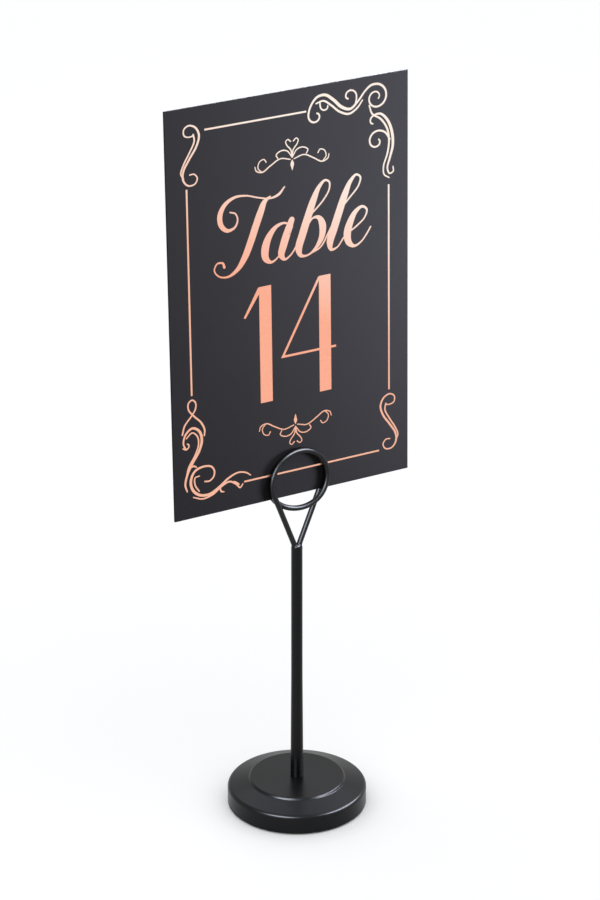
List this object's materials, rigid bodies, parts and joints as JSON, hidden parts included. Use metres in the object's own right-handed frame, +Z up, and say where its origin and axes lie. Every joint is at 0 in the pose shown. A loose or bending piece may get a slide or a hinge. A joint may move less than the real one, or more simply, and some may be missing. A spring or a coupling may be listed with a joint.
{
  "type": "table number holder",
  "caption": "Weighted round base with a slim upright stem and a spring-wire ring clip that pinches an upright table number card.",
  "frame": {"origin": "centre of the underside of the base pad, on the table", "axes": "+Z up along the stem, the card's printed face towards -Y, +X to the reader's right"},
  "size_m": [0.1131, 0.061, 0.3272],
  "materials": {
    "black_paint": "satin black paint on steel",
    "wire_paint": "semi-gloss black paint on spring steel",
    "cast_iron": "rough casting",
    "insert_brass": "turned",
    "foam_pad": "fine closed-cell foam",
    "card_stock": "matt charcoal, uncoated",
    "rose_foil": "rose-gold hot foil"
  },
  "bodies": {
    "base": {"base_cover": "black_paint", "base_weight": "cast_iron", "weight_insert": "insert_brass", "base_pad": "foam_pad"},
    "stem": {"stem_rod": "black_paint", "clip_wire": "wire_paint", "braze_bead": "wire_paint"},
    "card": {"number_card": "card_stock", "foil_rules": "rose_foil"}
  },
  "joints": [
    {"name": "stem_turn", "type": "hinge", "parent": "base", "child": "stem", "pos_m": [0, 0, 0.01275], "axis": [0, 0, 1], "range_deg": [0, 180]},
    {"name": "card_lift", "type": "slide", "parent": "stem", "child": "card", "axis": [0, 0.0232, 0.9997], "range_m": [0, 0.028]}
  ]
}
